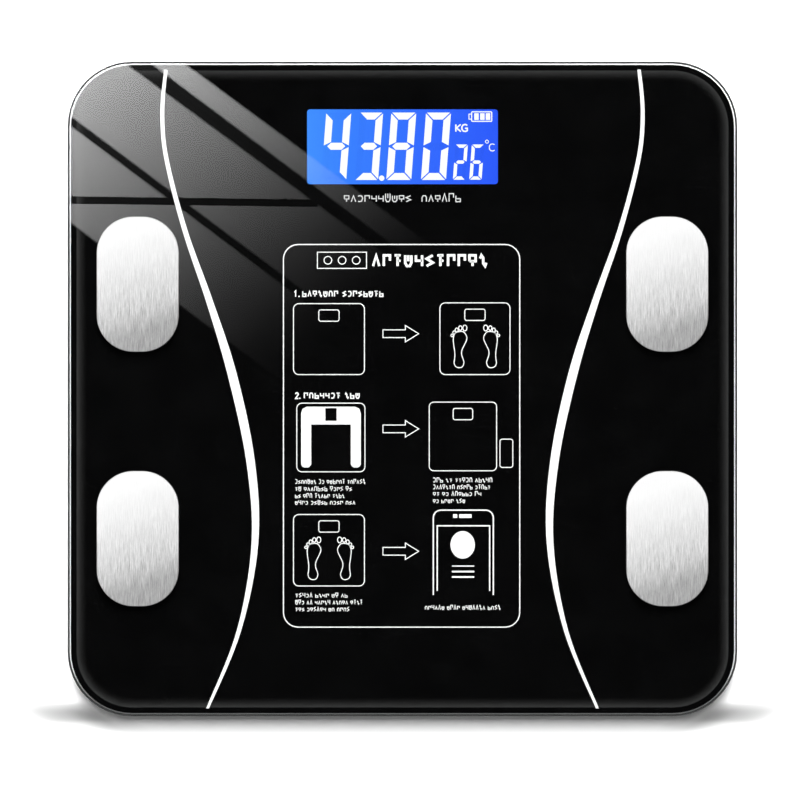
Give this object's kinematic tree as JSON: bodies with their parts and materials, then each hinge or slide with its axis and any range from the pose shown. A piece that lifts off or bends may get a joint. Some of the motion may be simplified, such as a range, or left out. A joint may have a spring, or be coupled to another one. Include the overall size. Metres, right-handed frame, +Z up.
{
  "type": "digital bathroom scale",
  "caption": "Square glass bathroom scale with rounded corners, black print, brushed steel foot electrodes, a blue backlit display and sprung load-cell feet.",
  "frame": {"origin": "on the floor, under the middle of the platform", "axes": "+Z up; +Y towards the display's edge; +X to the right of a person reading the display"},
  "size_m": [0.26, 0.2542, 0.024],
  "materials": {
    "platform_glass": "polished",
    "black_print": "gloss",
    "foam_tape": "matte",
    "tray_plastic": "matte",
    "label_foil": "satin",
    "lcd_glass": "gloss",
    "light_guide": "gloss",
    "white_plastic": "matte",
    "strip_rubber": "matte",
    "board": "satin",
    "chip": "matte",
    "zinc": "satin",
    "spring_steel": "satin",
    "electrode_steel": "brushed",
    "foot_plastic": "matte",
    "pad_rubber": "matte",
    "cell_sleeve": "gloss",
    "lead_sleeve": "matte"
  },
  "bodies": {
    "chassis": {"glass_platform": "platform_glass", "print_film": "black_print", "bonding_tape": "foam_tape", "base_tray": "tray_plastic", "rating_label": "label_foil", "lcd_panel": "lcd_glass", "lcd_backlight": "light_guide", "lcd_frame": "white_plastic", "zebra_strip": "strip_rubber", "main_pcb": "board", "scale_controller_chip": "chip", "radio_module": "zinc", "crystal_can": "zinc", "supply_capacitor": "chip", "pcb_screw_left": "zinc", "pcb_screw_right": "zinc", "unit_switch_body": "chip", "battery_cell_1": "cell_sleeve", "battery_cell_2": "cell_sleeve", "contact_link": "spring_steel", "contact_positive": "spring_steel", "contact_negative": "spring_steel", "battery_lead_positive": "lead_sleeve", "battery_lead_negative": "lead_sleeve", "electrode_upper_left": "electrode_steel", "electrode_nut_upper_left": "zinc", "electrode_lead_upper_left": "lead_sleeve", "load_cell_upper_left": "spring_steel", "load_cell_carrier_upper_left": "white_plastic", "load_cell_lead_upper_left": "lead_sleeve", "electrode_upper_right": "electrode_steel", "electrode_nut_upper_right": "zinc", "electrode_lead_upper_right": "lead_sleeve", "load_cell_upper_right": "spring_steel", "load_cell_carrier_upper_right": "white_plastic", "load_cell_lead_upper_right": "lead_sleeve", "electrode_lower_left": "electrode_steel", "electrode_nut_lower_left": "zinc", "electrode_lead_lower_left": "lead_sleeve", "load_cell_lower_left": "spring_steel", "load_cell_carrier_lower_left": "white_plastic", "load_cell_lead_lower_left": "lead_sleeve", "electrode_lower_right": "electrode_steel", "electrode_nut_lower_right": "zinc", "electrode_lead_lower_right": "lead_sleeve", "load_cell_lower_right": "spring_steel", "load_cell_carrier_lower_right": "white_plastic", "load_cell_lead_lower_right": "lead_sleeve"},
    "battery_door": {"battery_door": "tray_plastic"},
    "unit_button": {"unit_button": "foot_plastic", "unit_switch_plunger": "white_plastic"},
    "foot_upper_left": {"foot_cup_upper_left": "foot_plastic", "foot_pad_upper_left": "pad_rubber"},
    "foot_upper_right": {"foot_cup_upper_right": "foot_plastic", "foot_pad_upper_right": "pad_rubber"},
    "foot_lower_left": {"foot_cup_lower_left": "foot_plastic", "foot_pad_lower_left": "pad_rubber"},
    "foot_lower_right": {"foot_cup_lower_right": "foot_plastic", "foot_pad_lower_right": "pad_rubber"}
  },
  "joints": [
    {"name": "battery_door_hinge", "type": "hinge", "parent": "chassis", "child": "battery_door", "pos_m": [0, 0.0125, 0.004], "axis": [1, 0, 0], "range_deg": [0, 60]},
    {"name": "unit_button_press", "type": "slide", "parent": "chassis", "child": "unit_button", "axis": [0, 0, 1], "range_m": [0, 0.0005], "stiffness_N_per_m": 1500, "springref_m": -0.0005},
    {"name": "foot_play_upper_left", "type": "slide", "parent": "chassis", "child": "foot_upper_left", "axis": [0, 0, 1], "range_m": [-0.0006, 0]},
    {"name": "foot_play_upper_right", "type": "slide", "parent": "chassis", "child": "foot_upper_right", "axis": [0, 0, 1], "range_m": [-0.0006, 0]},
    {"name": "foot_play_lower_left", "type": "slide", "parent": "chassis", "child": "foot_lower_left", "axis": [0, 0, 1], "range_m": [-0.0006, 0]},
    {"name": "foot_play_lower_right", "type": "slide", "parent": "chassis", "child": "foot_lower_right", "axis": [0, 0, 1], "range_m": [-0.0006, 0]}
  ]
}
